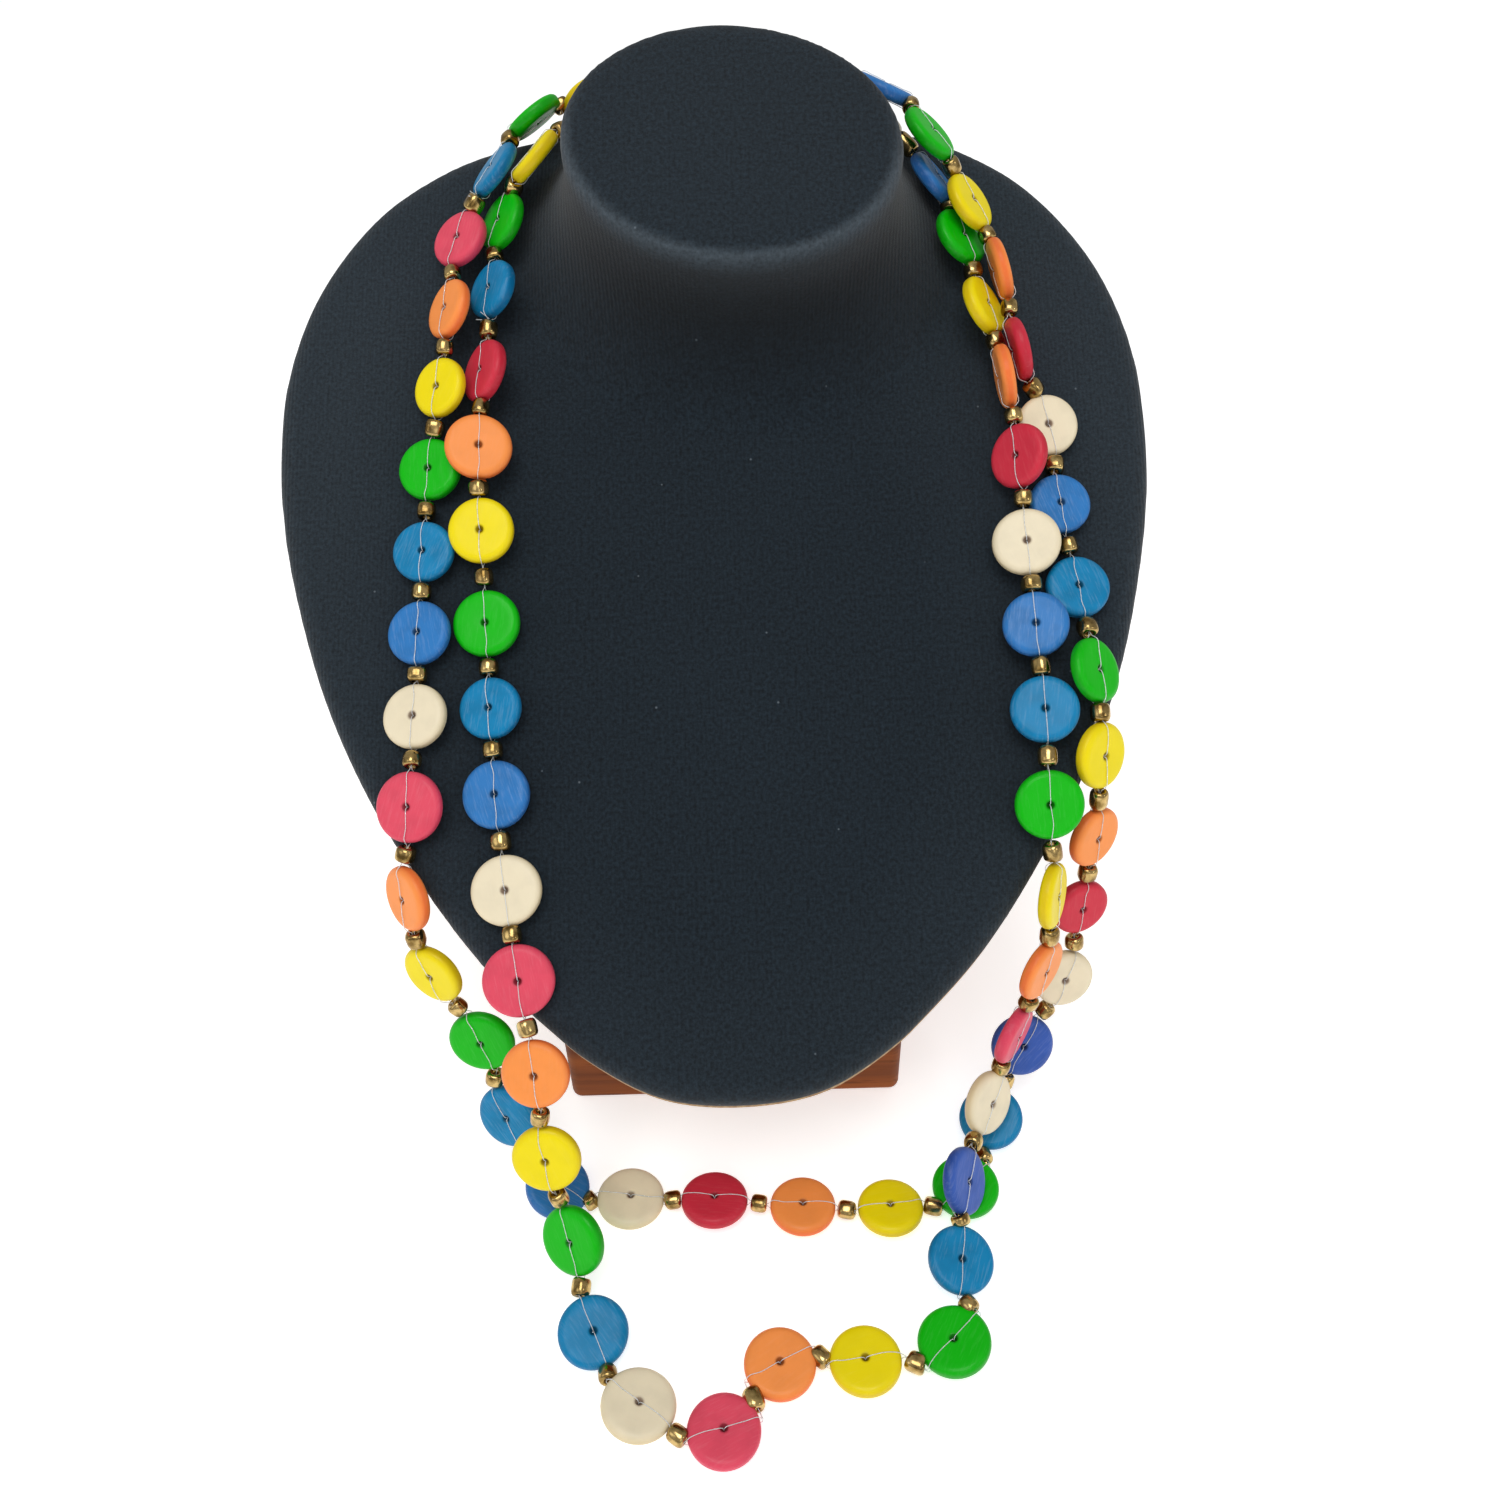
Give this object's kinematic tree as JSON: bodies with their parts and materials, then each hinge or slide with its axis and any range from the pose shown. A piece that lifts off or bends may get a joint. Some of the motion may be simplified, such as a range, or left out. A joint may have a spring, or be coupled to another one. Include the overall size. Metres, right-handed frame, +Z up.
{
  "type": "beaded necklace on neck bust",
  "caption": "Long necklace of dyed wooden discs and gold spacers, worn doubled on a cloth-covered neck bust with a wooden foot.",
  "frame": {"origin": "middle of the foot's underside, on the table", "axes": "+Z up, -Y out of the bust's front towards the viewer, +X to the viewer's right"},
  "size_m": [0.1994, 0.2443, 0.212],
  "materials": {
    "bust_fabric": "matt woven cloth",
    "raw_board": "raw board",
    "stained_wood": "satin stain",
    "dyed_beads": "satin dye in many colours, with small antique gold spacers"
  },
  "bodies": {
    "root": {"bust_form": "bust_fabric", "back_panel": "raw_board", "wooden_foot": "stained_wood", "first_round": "dyed_beads", "second_round": "dyed_beads"}
  },
  "joints": []
}
